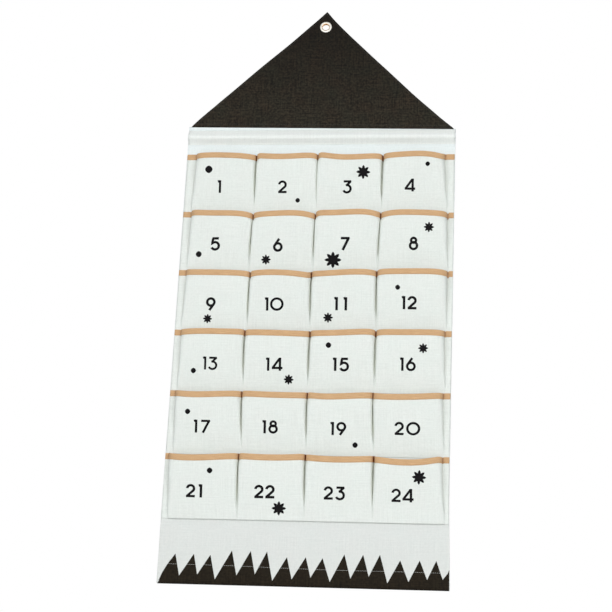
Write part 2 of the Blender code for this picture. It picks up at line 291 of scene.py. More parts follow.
def wander(row, x, down):
    # how far the cloth at an even place x has been sewn aside
    share = np.clip(down, 0, 1)
    tops, feet = betweenSeams(x, seamWander[row, :, 0]), betweenSeams(x, seamWander[row, :, 1])
    return tops + (feet - tops) * share + betweenSeams(x, seamBow) * np.sin(math.pi * share)


def droopAt(row, pocket, side, bulge):
    # the mouth's own droop, which gives way to the seams' drop at its corners
    curve = droopCurves[row, pocket]
    place = np.clip(side, -0.9, 0.9)
    total = 0
    for power in range(4):
        total = total + curve[..., power] * place ** (3 - power)
    left, right = seamDrop[row, pocket], seamDrop[row, pocket + 1]
    seams = left + (right - left) * (side + 1) / 2
    return seams + (total - seams) * bulge


def bulgeAt(pocket, side, down):
    # the mouth is round at its corners, the face below it is flatter; the outer flanks are softer
    outer = ((pocket == 0) & (side < 0)) | ((pocket == pockets["perRow"] - 1) & (side > 0))
    mouth = np.where(outer, pockets["outerPower"], pockets["flankPower"])
    below = np.where(outer, pockets["outerPowerBelow"], pockets["flankPowerBelow"])
    power = mouth + (below - mouth) * smooth(0, 0.14, down) + below * smooth(0.5, 0.9, down)
    bulge = (1 - np.clip(np.abs(side), 0, 1) ** power) ** (1 / pockets["frontPower"])
    # towards the foot the seam no longer draws the cloth in
    return bulge + (1 - bulge) * 0.9 * smooth(0.62, 0.95, down)


def pleatHalf(row, seam, down):
    shares = pleatShares[row, seam]
    top, low, shut = shares[..., 0], shares[..., 1], shares[..., 2]
    width = (top + (low - top) * np.clip(down, 0, 1)) * (1 - smooth(0, 0.45, down - shut))
    half = pockets["pleatTop"] * width + pockets["pleatFoot"]
    # the tapes of two pockets need room beside each other
    return np.maximum(half, pockets["tapeRoom"] * (1 - smooth(0, 0.06, down)))


def pocketCentre(pocket):
    return (pocket - 1.5) * pockets["width"]


def pocketSpan(row, pocket, down):
    # middle and half width of a pocket between its two seams
    left, right = pleatHalf(row, pocket, down), pleatHalf(row, pocket + 1, down)
    return pocketCentre(pocket) + (left - right) / 2, (pockets["width"] - left - right) / 2


def pocketDepth(row, pocket, down):
    # the last row's foot is a little proud, the others are pressed flat where the next row's tape goes over
    last = row == pockets["rows"] - 1
    foot = pockets["footDepth"] if last else 0
    depth = foot + (mouthDepths[row, pocket] - foot) * (1 - np.clip(down, 0, 1) ** pockets["closing"])
    return depth if last else depth * (1 - smooth(0.93, 0.99, down))


def footFall(row, x, down):
    # each foot but the last is sewn down behind the next row's tape, as low as that row's seams
    if row == pockets["rows"] - 1:
        return 0 * x
    return (np.interp(x, seamPlaces, seamDrop[row + 1]) + pockets["footBelowSeam"]) * smooth(0.8, 1, down)


def seatAt(down):
    return pockets["seatTop"] + (pockets["seatFoot"] - pockets["seatTop"]) * np.clip(down, 0, 1)


def pocketRipple(x, z, down, row):
    # soft folds in the pocket's face: broad ones, and short ones that fan up from the foot
    (broad, long), (fine, short) = pockets["broadRipple"], pockets["fineRipple"]
    ripple = broad * waves(x, z, long, 31 + row) + fine * waves(x * 1.6, z, short, 51 + row)
    return ripple * (0.25 + 0.75 * smooth(0.0, 0.25, down)) * (1 - smooth(0.85, 1.0, down))


def pocketPoint(row, pocket, side, down, level):
    # level is the height before the droop
    bulge = bulgeAt(pocket, side, down)
    middle, half = pocketSpan(row, pocket, down)
    x = middle + half * side
    z = level - droopAt(row, pocket, side, bulge) * (1 - np.clip(down, 0, 1)) - footFall(row, x, down)
    forward = seatAt(down) + bulge * (pocketDepth(row, pocket, down) + pocketRipple(x, z, down, row))
    return x, -forward, z


def rowAt(z):
    below = tapeZ(0) + pockets["halfTape"] + 0.2 * mm - z
    return np.clip(np.floor(below / pockets["pitch"]), 0, pockets["rows"] - 1).astype(int)


def pocketFace(x, z):
    # the y of the pockets' outer face under a printed point
    rows = rowAt(z)
    y = np.zeros(len(rows))
    for row in np.unique(rows):
        here = rows == row
        y[here] = rowFace(int(row), x[here], z[here])
    return y


def rowFace(row, x, z):
    lower, foot = stripEnds(row)
    down = (lower - z) / (lower - foot)
    even = x
    for _ in range(6):
        even = x - wander(row, even, down)
        pocket = np.clip(np.floor(even / pockets["width"] + 2), 0, pockets["perRow"] - 1).astype(int)
        middle, half = pocketSpan(row, pocket, down)
        side = np.clip((even - middle) / half, -1, 1)
        bulge = bulgeAt(pocket, side, down)
        droop = droopAt(row, pocket, side, bulge)
        down = (lower - droop - footFall(row, even, down) - z) / (lower - foot - droop)
    forward = seatAt(down) + bulge * (pocketDepth(row, pocket, down) + pocketRipple(even, z, down, row))
    return hang(x, z) - forward - cloth / 2


print("sizes set")


# materials

def setInputs(tree, node, inputs):
    # a plain value goes on the socket itself, another node's output is linked to it
    for socket, value in inputs.items():
        if isinstance(value, (int, float, tuple)):
            node.inputs[socket].default_value = value
        else:
            tree.links.new(value, node.inputs[socket])


def makeNode(tree, kind, inputs, **settings):
    node = tree.nodes.new("ShaderNode" + kind)
    for name, value in settings.items():
        setattr(node, name, value)
    setInputs(tree, node, inputs)
    return node


def newMaterial(name):
    material = bpy.data.materials.new(name)
    material.use_nodes = True
    return material, material.node_tree, material.node_tree.nodes["Principled BSDF"]


def mathNode(tree, operation, *values):
    return makeNode(tree, "Math", dict(enumerate(values)), operation=operation).outputs[0]


def mapNode(tree, name):
    return makeNode(tree, "UVMap", {}, uv_map=name).outputs[0]


def objectPlace(tree):
    return makeNode(tree, "TexCoord", {}).outputs["Object"]


def splitNode(tree, vector):
    return makeNode(tree, "SeparateXYZ", {0: vector}).outputs


def stretchNode(tree, vector, factors):
    return makeNode(tree, "VectorMath", {0: vector, 1: factors}, operation="MULTIPLY").outputs[0]


def noiseNode(tree, vector, scale, detail):
    return makeNode(tree, "TexNoise", {"Vector": vector, "Scale": scale, "Detail": detail}).outputs


def rangeNode(tree, value, **ends):
    # ends are fromMin, fromMax, toMin and toMax; those left out are 0 and 1
    names = {"fromMin": "From Min", "fromMax": "From Max", "toMin": "To Min", "toMax": "To Max"}
    return makeNode(tree, "MapRange", {"Value": value} | {names[end]: ends[end] for end in ends}).outputs[0]


def bumpNode(tree, height, strength, distance):
    return makeNode(tree, "Bump", {"Height": height, "Strength": strength, "Distance": distance}).outputs[0]


def rampNode(tree, value, low, high, dark, light):
    node = makeNode(tree, "ValToRGB", {0: value})
    first, last = node.color_ramp.elements
    first.position, last.position = low, high
    first.color, last.color = (*dark, 1), (*light, 1)
    return node.outputs[0]


def colourMix(tree, kind, factor, first, second):
    first, second = [(*colour, 1) if isinstance(colour, tuple) else colour for colour in (first, second)]
    inputs = {"Factor": factor, 6: first, 7: second}
    return makeNode(tree, "Mix", inputs, data_type="RGBA", blend_type=kind).outputs[2]


def paintedFoldShade(tree, colour, fold):
    # painted shade: the crease map is one inside a fold, where it darkens the colour; pieces without that map
    # have no folds
    return colourMix(tree, "MULTIPLY", splitNode(tree, mapNode(tree, "crease"))[0], colour, fold)


def weaveGroup():
    # plain weave from flat measures: Height of the threads, Shade of the uneven yarn, Patch of the dye
    tree = bpy.data.node_groups.new("plainWeave", "ShaderNodeTree")
    for name, value in (("Threads", 1250.0), ("Slubs", 1.0), ("Mottle", 0.5)):
        socket = tree.interface.new_socket(name, in_out="INPUT", socket_type="NodeSocketFloat")
        socket.default_value = value
    for name in ("Height", "Shade", "Patch"):
        tree.interface.new_socket(name, in_out="OUTPUT", socket_type="NodeSocketFloat")
    inlet = tree.nodes.new("NodeGroupInput").outputs
    flat = mapNode(tree, "flat")
    # the yarn wanders a little
    drift = noiseNode(tree, flat, 55, 2)["Color"]
    bend = {0: drift, 1: (0.0012, 0.0012, 0), 2: flat}
    bend = makeNode(tree, "VectorMath", bend, operation="MULTIPLY_ADD").outputs[0]
    sines, ridges = [], []
    for part in splitNode(tree, bend)[:2]:
        turns = mathNode(tree, "MULTIPLY", mathNode(tree, "MULTIPLY", part, inlet["Threads"]), math.pi)
        sines.append(mathNode(tree, "SINE", turns))
        ridges.append(mathNode(tree, "POWER", mathNode(tree, "ABSOLUTE", sines[-1]), 0.6))
    over = mathNode(tree, "GREATER_THAN", mathNode(tree, "MULTIPLY", *sines), 0.0)
    # a warp thread on top is round across and long along, a weft thread the other way
    warp, weft = [
        mathNode(tree, "MULTIPLY", mathNode(tree, "MULTIPLY_ADD", long, 0.4, 0.6), round_)
        for round_, long in (ridges, ridges[::-1])
    ]
    height = makeNode(tree, "Mix", {"Factor": over, 2: weft, 3: warp}).outputs[0]
    # slubs: long thin streaks both ways
    ways = ((24, 1300, 1), (1300, 24, 1))
    streaks = [noiseNode(tree, stretchNode(tree, bend, way), 1, 2)["Fac"] for way in ways]
    slub = mathNode(tree, "SUBTRACT", mathNode(tree, "ADD", *streaks), 1.0)
    slub = mathNode(tree, "MULTIPLY", slub, inlet["Slubs"])
    mottle = mathNode(tree, "SUBTRACT", noiseNode(tree, flat, 260, 2)["Fac"], 0.5)
    mottle = mathNode(tree, "MULTIPLY", mottle, inlet["Mottle"])
    shade = {0: mathNode(tree, "ADD", slub, mottle), 1: 0.5}
    shade = makeNode(tree, "Math", shade, operation="ADD", use_clamp=True).outputs[0]
    outlet = tree.nodes.new("NodeGroupOutput")
    setInputs(tree, outlet, {"Height": height, "Shade": shade, "Patch": noiseNode(tree, flat, 30, 2)["Fac"]})
    return tree


plainWeave = weaveGroup()


def wovenMaterial(name, look):
    material, tree, shader = newMaterial(name)
    settings = {"Threads": look["threads"], "Slubs": look["slubs"], "Mottle": look["mottle"]}
    weave = makeNode(tree, "Group", {}, node_tree=plainWeave)
    setInputs(tree, weave, settings)
    height, shade, patch = weave.outputs
    yarn = rampNode(tree, shade, 0.2, 0.8, look["dark"], look["light"])
    # painted shade: the gaps between the threads are darker
    woven = colourMix(tree, "MULTIPLY", 1.0, yarn, rangeNode(tree, height, toMin=look["gap"]))
    # the dye drifts between two tints, and the colour shifts with height between a low and a high tint
    drift = colourMix(tree, "MIX", patch, look["warm"], look["cool"])
    low, high = look["heights"]
    level = rangeNode(tree, splitNode(tree, objectPlace(tree))[2], fromMin=low, fromMax=high)
    heightTint = colourMix(tree, "MIX", level, look["low"], look["high"])
    dyed = colourMix(tree, "MULTIPLY", 1.0, colourMix(tree, "MULTIPLY", 1.0, woven, drift), heightTint)
    setInputs(tree, shader, {
        "Base Color": paintedFoldShade(tree, dyed, look["fold"]),
        "Normal": bumpNode(tree, height, look["bump"], 0.25 * mm),
        "Roughness": look["roughness"],
        "Specular IOR Level": look["shine"],
        "Sheen Weight": look["sheen"],
        "Sheen Roughness": 0.5,
    })
    return material


white = (1.0, 1.0, 1.0)
evenDye = {"warm": white, "cool": white, "fold": white, "low": white, "high": white, "heights": (-1.0, 0.0)}
canvasLook = evenDye | {
    "threads": 1250.0, "slubs": 0.8, "mottle": 0.5,
    "light": (0.855, 0.892, 0.858), "dark": (0.743, 0.78, 0.745),
    # painted shade: fold warms and darkens the cloth's colour inside the folds
    "warm": (1.0, 0.985, 0.98), "cool": (0.98, 1.0, 0.99), "fold": (1.0, 0.985, 0.93),
    "gap": 0.86, "bump": 0.5, "roughness": 0.92, "shine": 0.15, "sheen": 0.08,
}
# the panel's own cloth is a little bluer, and greyer towards the foot
panelLook = canvasLook | {
    "light": (0.88, 0.94, 0.94), "dark": (0.77, 0.83, 0.83),
    "low": (0.885, 0.85, 0.825), "heights": (-0.95, -0.25),
}
# the sleeve is sewn from doubled cloth
sleeveLook = panelLook | {"light": (0.935, 0.965, 0.94), "dark": (0.825, 0.855, 0.83)}
gableLook = evenDye | {
    "threads": 1100.0, "slubs": 1.3, "mottle": 1.5,
    "light": (0.039, 0.033, 0.023), "dark": (0.008, 0.007, 0.005),
    "warm": (1.25, 0.93, 0.8), "cool": (0.8, 1.05, 1.0), "high": (0.44, 0.39, 0.35), "heights": (-0.16, 0.0),
    "gap": 0.6, "bump": 0.7, "roughness": 0.85, "shine": 0.2, "sheen": 0.02,
}
inkLook = evenDye | {
    "threads": 1250.0, "slubs": 0.7, "mottle": 0.4,
    "light": (0.010, 0.0085, 0.0095), "dark": (0.004, 0.0035, 0.004),
    "gap": 0.7, "bump": 0.3, "roughness": 0.8, "shine": 0.12, "sheen": 0.0,
}
borderLook = inkLook | {
    "slubs": 0.9, "mottle": 0.8, "light": (0.028, 0.0215, 0.0125), "dark": (0.008, 0.006, 0.004),
    "warm": (1.08, 0.96, 0.9), "cool": (0.94, 1.0, 0.98),
    "gap": 0.6, "bump": 0.4, "roughness": 0.85, "shine": 0.15,
}
canvas = wovenMaterial("canvas", canvasLook)
panelCanvas = wovenMaterial("panelCanvas", panelLook)
sleeveCanvas = wovenMaterial("sleeveCanvas", sleeveLook)
gableCanvas = wovenMaterial("gableCanvas", gableLook)
printInk = wovenMaterial("printInk", inkLook)
borderInk = wovenMaterial("borderInk", borderLook)


def tapeMaterial(look):
    # herringbone cotton tape: the twill's slope turns over twice across the width
    material, tree, shader = newMaterial("cottonTape")
    flat = mapNode(tree, "flat")
    along, across = splitNode(tree, flat)[:2]
    slope = mathNode(tree, "ADD", along, mathNode(tree, "PINGPONG", across, look["band"]))
    twill = mathNode(tree, "SINE", mathNode(tree, "MULTIPLY", slope, math.pi * look["threads"]))
    twill = mathNode(tree, "ABSOLUTE", twill)
    streak = noiseNode(tree, stretchNode(tree, flat, (60, 1400, 1)), 1, 3)["Fac"]
    yarn = rampNode(tree, streak, 0.3, 0.7, look["dark"], look["light"])
    # painted shade: the twill's grooves are darker
    grooved = colourMix(tree, "MULTIPLY", 1.0, yarn, rangeNode(tree, twill, toMin=look["gap"]))
    setInputs(tree, shader, {
        "Base Color": paintedFoldShade(tree, grooved, look["fold"]),
        "Normal": bumpNode(tree, twill, 0.5, 0.2 * mm),
        "Roughness": 0.8,
        "Specular IOR Level": 0.2,
        "Sheen Weight": 0.05,
    })
    return material


cottonTape = tapeMaterial({
    "threads": 900.0, "band": 0.0025, "light": (0.70, 0.455, 0.25), "dark": (0.565, 0.34, 0.17), "gap": 0.8,
    # painted shade: fold turns the tape deep brown where it folds in at the seams
    "fold": (0.45, 0.2, 0.05),
})


def threadMaterial(name, colour):
    # twisted sewing thread, finely uneven on each stitch
    material, tree, shader = newMaterial(name)
    twist = noiseNode(tree, objectPlace(tree), 2600, 2)["Fac"]
    setInputs(tree, shader, {
        "Base Color": rampNode(tree, twist, 0.3, 0.7, [part * 0.82 for part in colour], colour),
        "Normal": bumpNode(tree, twist, 0.4, 0.1 * mm),
        "Roughness": 0.6,
        "Sheen Weight": 0.1,
    })
    return material


whiteThread = threadMaterial("whiteThread", (0.8, 0.82, 0.79))
tanThread = threadMaterial("tanThread", (0.6, 0.31, 0.13))
darkThread = threadMaterial("darkThread", (0.03, 0.026, 0.022))
print("materials made")


# stitches, as flattened beads of thread along a sewn line

stitch = {"length": 2.7 * mm, "gap": 0.45 * mm, "radius": 0.24 * mm, "flatness": 0.55, "proud": 0.15}


def stitchTemplate():
    shape = bmesh.new()
    bmesh.ops.create_uvsphere(shape, u_segments=6, v_segments=5, radius=1)
    bmesh.ops.rotate(shape, verts=shape.verts, matrix=Matrix.Rotation(math.pi / 2, 3, "Y"))
    mesh = takeMesh(shape, "stitch")
    points = readPoints(mesh)
    faces = [tuple(face.vertices) for face in mesh.polygons]
    bpy.data.meshes.remove(mesh)
    return points, faces


stitchPoints, stitchFaces = stitchTemplate()


def alongLine(places, travel, values):
    return joined(*[np.interp(places, travel, values[:, axis]) for axis in range(3)])


def sewStitches(name, lines, material, body):
    # each line is (points along it, outward direction at each point)
    allPoints, allFaces = [], []
    for points, outward in lines:
        travel = travelAlong(points)
        count = int(travel[-1] / (stitch["length"] + stitch["gap"]))
        if count < 1:
            continue
        middles = (np.arange(count) + 0.5) * travel[-1] / count
        first, last = [alongLine(middles + part * stitch["length"], travel, points) for part in (-0.5, 0.5)]
        along = last - first
        length = np.linalg.norm(along, axis=1, keepdims=True)
        along = along / length
        out = alongLine(middles, travel, outward)
        out = out - along * (out * along).sum(1, keepdims=True)
        out = out / np.linalg.norm(out, axis=1, keepdims=True)
        wide = np.cross(out, along)
        lifted = stitchPoints[:, 2:] * stitch["flatness"] + stitch["proud"]
        spots = (
            ((first + last) / 2)[:, None]
            + stitchPoints[:, :1] * (along * length / 2)[:, None]
            + stitchPoints[:, 1:2] * stitch["radius"] * wide[:, None]
            + lifted * stitch["radius"] * out[:, None]
        )
        for spot in spots:
            base = len(allPoints) * len(stitchPoints)
            allPoints.append(spot)
            allFaces += [tuple(base + corner for corner in face) for face in stitchFaces]
    mesh = bpy.data.meshes.new(name)
    mesh.from_pydata(np.concatenate(allPoints).tolist(), [], allFaces)
    mesh.shade_smooth()
    addPiece(name, mesh, material, body)


def sewnLine(x, y, z, side):
    # a line on the front (-1) or back (1) of the cloth
    return joined(x, y, z), np.tile((0.0, side, 0.0), (len(x), 1))


# gable: two layers turned out like an envelope, rolled at its foot, with the eyelet's hole

gable = {
    "halfWidth": 227.0 * mm,
    "apexZ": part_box("gable_front")[1].z,
    "halfThick": 0.9 * mm,
    "roll": 2.0 * mm,
    "columns": 150,
    "rows": 118,
    "hole": 7.6 * mm,
    "bend": 0.9 * mm,
    "edgeRound": 1.6 * mm,
    # how much nearer the sloping edge is than it is along x
    "slopeShare": 0.705,
    "stitchInset": 3.2 * mm,
    "stitchWidth": 0.9 * mm,
    "stitchDent": 0.22 * mm,
}


# the limp gable hangs a little to the left, and its slopes hollow in:
# mm above the eyelet, mm aside, mm narrower
gableHeights = (-194.5, -176, -160, -145, -129, -113, -98, -82, -66, -51, -35, -19, -4, 12, 21, 28, 31)
gableAside = (0, 3.1, 4.7, 5.7, 5.6, 5.1, 4.8, 4.4, 4.0, 3.1, 2.3, 2.0, 1.5, 0.4, -0.4, -1.0, -1.0)
gableHollow = (0, 0.3, 0.1, 0.5, 1.0, 1.1, 1.1, 1.3, 1.9, 2.5, 3.0, 3.1, 2.7, 2.2, 1.3, 0.2, 0)


def gableTilt(x):
    # the gable's lower edge is sewn a little higher at the left
    return 2.0 * mm - 0.0127 * x


def gableHalf(z):
    straight = gable["halfWidth"] * (gable["apexZ"] - z) / (gable["apexZ"] - foldZ)
    return straight - np.interp(z / mm, gableHeights, gableHollow) * mm


def gablePoint(x, z, side):
    # a point of the front (-1) or back (1) face, x from the gable's own middle
    aside = np.interp(z / mm, gableHeights, gableAside) * mm
    return joined(x - aside, gableFace(x, z, side), z + gableLift(x, z))


def gableThick(x, z):
    # half of the envelope's thickness: a roll at the foot, flat above it, thin at the tip
    # the roll is thinner where it is sewn higher, so the gable still folds over the sleeve
    height = z - foldZ
    thin = gable["roll"] - 0.25 * np.clip(gableTilt(x), 0, None)
    roll = thin * np.sqrt(np.clip(1 - (height / gable["roll"]) ** 2, 0, None))
    flat = gable["halfThick"] * smooth(-0.5 * mm, 2.5 * mm, height)
    return np.maximum(roll, flat) * smooth(-1.0 * mm, 5 * mm, gable["apexZ"] - z + 1.2 * mm)


def gableBend(x, z):
    # limp cloth: none at the eyelet or the fold
    free = smooth(0.012, 0.05, np.hypot(x, z)) * smooth(0.004, 0.05, z - foldZ)
    return gable["bend"] * free * waves(x, z, 0.16, 5)


def gableFace(x, z, side):
    # the y of the front (-1) or back (1) face
    half = gableHalf(z)
    edge = np.clip(1 - (np.abs(x) / np.maximum(half, 1e-6)) ** 2, 0, 1)
    rounding = np.clip((half - np.abs(x)) / gable["edgeRound"], 0, 1)
    off = (half - np.abs(x)) * gable["slopeShare"]
    seam = np.exp(-((off - gable["stitchInset"]) / gable["stitchWidth"]) ** 2)
    thick = gableThick(x, z) * np.sqrt(1 - (1 - rounding) ** 2)
    return gableBend(x, z) + side * (thick - gable["stitchDent"] * seam * edge)


def gableLift(x, z):
    return gableTilt(x) * (1 - smooth(foldZ, foldZ + 0.05, z))


def makeGable():
    columns = gable["columns"]
    # across the front, round the right slope, back across the rear and round the left one
    turn = np.linspace(0, 1, columns + 1)
    spread = 0.75 * (turn * 2 - 1) + 0.25 * np.sin((turn - 0.5) * math.pi)
    shares = np.concatenate([spread, spread[::-1][1:]])
    sides = np.concatenate([-np.ones(columns + 1), np.ones(columns)])
    low = foldZ - gable["roll"]
    heights = np.concatenate([
        low + gable["roll"] * (1 - np.cos(np.linspace(0, math.pi / 2, 7))),
        np.linspace(foldZ, gable["apexZ"], gable["rows"])[1:],
    ])[::-1]

    def place(column, row):
        z = heights[row]
        return gablePoint(shares[column] * gableHalf(np.maximum(z, foldZ)), z, sides[column])

    flatAcross = np.concatenate([spread, 2 - spread[::-1][1:]]) * gable["halfWidth"]
    piece = clothGrid("gableCloth", flatAcross, gable["apexZ"] - heights, place, gableCanvas)
    # the weave keeps its size up to the narrow tip
    piece.data.uv_layers.remove(piece.data.uv_layers["flat"])
    setMap(piece.data, "flat", readPoints(piece.data)[:, [0, 2]])
    shape = bmesh.new()
    shape.from_mesh(piece.data)
    bmesh.ops.remove_doubles(shape, verts=shape.verts, dist=0.02 * mm)
    middles = [(face, face.calc_center_median()) for face in shape.faces]
    hole = [face for face, middle in middles if math.hypot(middle.x, middle.z) < gable["hole"]]
    bmesh.ops.delete(shape, geom=hole, context="FACES")
    bmesh.ops.dissolve_degenerate(shape, edges=shape.edges, dist=0.01 * mm)
    shape.to_mesh(piece.data)
    shape.free()
    piece.data.shade_smooth()
    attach(piece, "gable")
    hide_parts("gable_front", "gable_back")


makeGable()


def gableStitches():
    # up both slopes and along the foot, on both faces
    inset = gable["stitchInset"] / gable["slopeShare"]
    slope = np.linspace(foldZ + 6 * mm, gable["apexZ"] - 5 * mm, 220)
    runs = [(side * (gableHalf(slope) - inset), slope) for side in (-1, 1)]
    foot = np.linspace(-gable["halfWidth"] + 8 * mm, gable["halfWidth"] - 8 * mm, 300)
    runs.append((foot, np.full_like(foot, foldZ + 4.8 * mm)))
    lines = [sewnLine(*gablePoint(x, z, face).T, face) for x, z in runs for face in (-1, 1)]
    sewStitches("gableStitches", lines, darkThread, "gable")


gableStitches()
print("gable made")


# panel: hemmed behind at its sides, its foot turned up round the dowel and sewn

panel = {
    "above": 8.0 * mm,
    "sideHem": 13.0 * mm,
    "layer": 0.76 * mm,
    "footHem": 33.0 * mm,
    "edge": 0.38 * mm,
    "footLift": 36,
    "columns": 116,
    "frontPoints": 400,
    "bend": 0.35 * mm,
}


def footPath():
    # (y, z) down the front, round the foot rod and up behind, at even small steps
    rodY = (footRodLow.y + footRodHigh.y) / 2
    rodZ = (footRodLow.z + footRodHigh.z) / 2
    radius = rodY
    top = foldZ + panel["above"]
    path = [(0.0, z) for z in np.linspace(top, rodZ, panel["frontPoints"])]
    lift = math.radians(panel["footLift"])
    path += [
        (rodY - radius * math.cos(turn), rodZ - radius * math.sin(turn))
        for turn in np.linspace(0, math.pi + lift, 48)[1:]
    ]
    # straight off the dowel to the back of the panel, where it bends to lie flat
    hemY = panel["layer"] * 1.1
    lastY, lastZ = path[-1]
    run = (lastY - hemY) / math.sin(lift)
    landZ = lastZ + run * math.cos(lift)
    for share in np.linspace(0, 1, 30)[1:]:
        z = lastZ + (landZ + 3 * mm - lastZ) * share
        straight = lastY - (z - lastZ) * math.tan(lift)
        path.append((hemY + panel["bend"] * np.logaddexp(0, (straight - hemY) / panel["bend"]), z))
    path += [(hemY, z) for z in np.linspace(landZ + 3 * mm, footZ + panel["footHem"], 20)[1:]]
    return np.array(path)


panelPath = footPath()
pathTravel = travelAlong(panelPath)
pathSlope = np.gradient(panelPath, pathTravel, axis=0)
pathSlope /= np.linalg.norm(pathSlope, axis=1, keepdims=True)
frontEnd = float(pathTravel[panel["frontPoints"] - 1])
panelDowns = np.concatenate([np.linspace(0, frontEnd, 166), np.linspace(frontEnd, pathTravel[-1], 60)[1:]])


def hemStack(x):
    # over the side hems the turned-up foot has more layers under it
    return panel["layer"] * 2 * smooth(0.204, 0.216, np.abs(x))


def panelPoint(x, travel, behind):
    # behind is how far off the cloth's own middle, towards its inner side
    y, z = [np.interp(travel, pathTravel, panelPath[:, axis]) for axis in range(2)]
    # its top edge stays inside the gable, and just under the gable's line beside the tips
    topEdge = foldZ + gableTilt(x) + np.clip(0.9 * (gable["halfWidth"] - 3 * mm - np.abs(x)), -1 * mm, 5 * mm)
    z = z + (topEdge - panelPath[0, 1]) * (1 - smooth(0, 16 * mm, travel))
    slopeY, slopeZ = [np.interp(travel, pathTravel, pathSlope[:, axis]) for axis in range(2)]
    stack = hemStack(x) * smooth(frontEnd + 0.009, frontEnd + 0.02, travel)
    return joined(x + edgeWander(x, z), y - slopeZ * behind + stack + hang(x, z), z + slopeY * behind)


def makePanel():
    hem, layer, edge = panel["sideHem"], panel["layer"], panel["edge"]
    side = halfWidth - edge
    back = np.linspace(side - hem, side, 6)
    turns = np.linspace(math.pi / 2, -math.pi / 2, 6)[1:-1]
    halfX = np.concatenate([back, side + edge * np.cos(turns), [side]])
    halfBehind = np.concatenate([np.full(6, layer), layer / 2 + layer / 2 * np.sin(turns), [0]])
    middle = np.linspace(-side, side, panel["columns"])[1:-1]
    xs = np.concatenate([-halfX, middle, halfX[::-1]])
    behind = np.concatenate([halfBehind, np.zeros(len(middle)), halfBehind[::-1]])
    across = travelAlong(np.stack([xs, behind], 1)) - (side + hem)

    def place(column, row):
        return panelPoint(xs[column], panelDowns[row], behind[column])

    piece = clothGrid("panelCloth", across, panelDowns, place, panelCanvas, cloth * 0.95)
    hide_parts("backing_panel")
    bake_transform(piece)


makePanel()


def evenPath(path, step):
    path = np.array(path)
    travel = travelAlong(path)
    even = np.linspace(0, travel[-1], int(travel[-1] / step) + 1)
    return np.stack([np.interp(even, travel, path[:, axis]) for axis in range(2)], 1)


def softenPath(path, passes):
    for _ in range(passes):
        path[1:-1] = path[1:-1] / 2 + (path[:-2] + path[2:]) / 4
    return path


sleeve = {
    "seat": -0.8 * mm,
    "top": foldZ - 3.8 * mm,
    "foot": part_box("top_sleeve")[0].z - 2.2 * mm,
    "overRod": 0.95 * mm,
    "lowerTurn": math.radians(50),
    "step": 0.4 * mm,
    "softening": 9,
    "pucker": 0.25 * mm,
}


def makeSleeve():
    # a band sewn on above and below the top dowel, straight from the seams to the dowel
    rodY = (topRodLow.y + topRodHigh.y) / 2
    rodZ = (topRodLow.z + topRodHigh.z) / 2
    radius = (topRodHigh.z - topRodLow.z) / 2 + sleeve["overRod"]
    seat, top, foot = sleeve["seat"], sleeve["top"], sleeve["foot"]
    aside, up = seat - rodY, top - rodZ
    upper = math.atan2(aside, up) + math.asin(radius / math.hypot(aside, up))
    lower = sleeve["lowerTurn"]
    turns = np.linspace(upper, -lower, 40)
    round_ = [(rodY - radius * math.cos(turn), rodZ + radius * math.sin(turn)) for turn in turns]
    belowZ = round_[-1][1] - (seat - round_[-1][0]) / math.tan(lower)
    path = [(seat, top)] + round_ + [(seat, belowZ), (seat, foot)]
    path = softenPath(evenPath(path, sleeve["step"]), sleeve["softening"])[::2]
    side = halfWidth - 0.4 * mm
    xs = np.linspace(-side, side, 110)
    downs = travelAlong(path)

    def place(column, row):
        x = xs[column]
        y, z = path[row, 0], path[row, 1]
        pucker = sleeve["pucker"] * waves(x, z * 0, 0.035, 71) * smooth(0, 3 * mm, np.abs(y - seat))
        return joined(x + edgeWander(x, z), y + hang(x, z) - np.abs(pucker), z)

    piece = clothGrid("sleeveCloth", xs, downs, place, sleeveCanvas, cloth * 0.9)
    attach(piece, "panel")
    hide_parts("top_sleeve")


makeSleeve()
print("panel and sleeve made")


# pockets and their tapes

lastPocket = pockets["perRow"] - 1


def mouthColumns():
    # (pocket, side) along a row at even steps of cloth, with the flat strip at each end
    turn = np.linspace(math.pi, 0, 1200)
    side = np.copysign(np.abs(np.cos(turn)) ** (2 / pockets["flankPower"]), np.cos(turn))
    bulge = np.abs(np.sin(turn)) ** (2 / pockets["frontPower"])
    travel = travelAlong(np.stack([side * pockets["width"] / 2, bulge * pockets["curveDepth"]], 1))
    even = np.linspace(0, travel[-1], pockets["steps"] + 1)
    # places on the flanks are kept by their depth, which a share of the width can't tell apart
    sides = np.interp(even, travel, side)
    bulges = np.interp(even, travel, bulge)
    steep = np.abs(sides) > 0.9
    flank = (1 - bulges[steep] ** pockets["frontPower"]) ** (1 / pockets["flankPower"])
    sides[steep] = np.sign(sides[steep]) * flank
    sides[0], sides[-1] = -1, 1
    strip = np.linspace(0, 1, 5)
    kinds = [(-1, share) for share in strip[:-1]]
    for pocket in range(pockets["perRow"]):
        kinds += [(pocket, place) for place in sides]
    kinds += [(pockets["perRow"], share) for share in strip[1:]]
    return np.array(kinds)


columnKinds = mouthColumns()
everyColumn = np.arange(len(columnKinds))
inPocket = (columnKinds[:, 0] >= 0) & (columnKinds[:, 0] <= lastPocket)
# painted shade in the folds: the outer flanks get half as much as the folds between two pockets
outerFlank = np.abs(columnKinds[:, 0] + columnKinds[:, 1] * 0.5 - lastPocket / 2) > 1.9
creaseShadeMask = np.where(outerFlank, 0.5, 1.0) * smooth(0.975, 0.998, np.abs(columnKinds[:, 1])) * inPocket


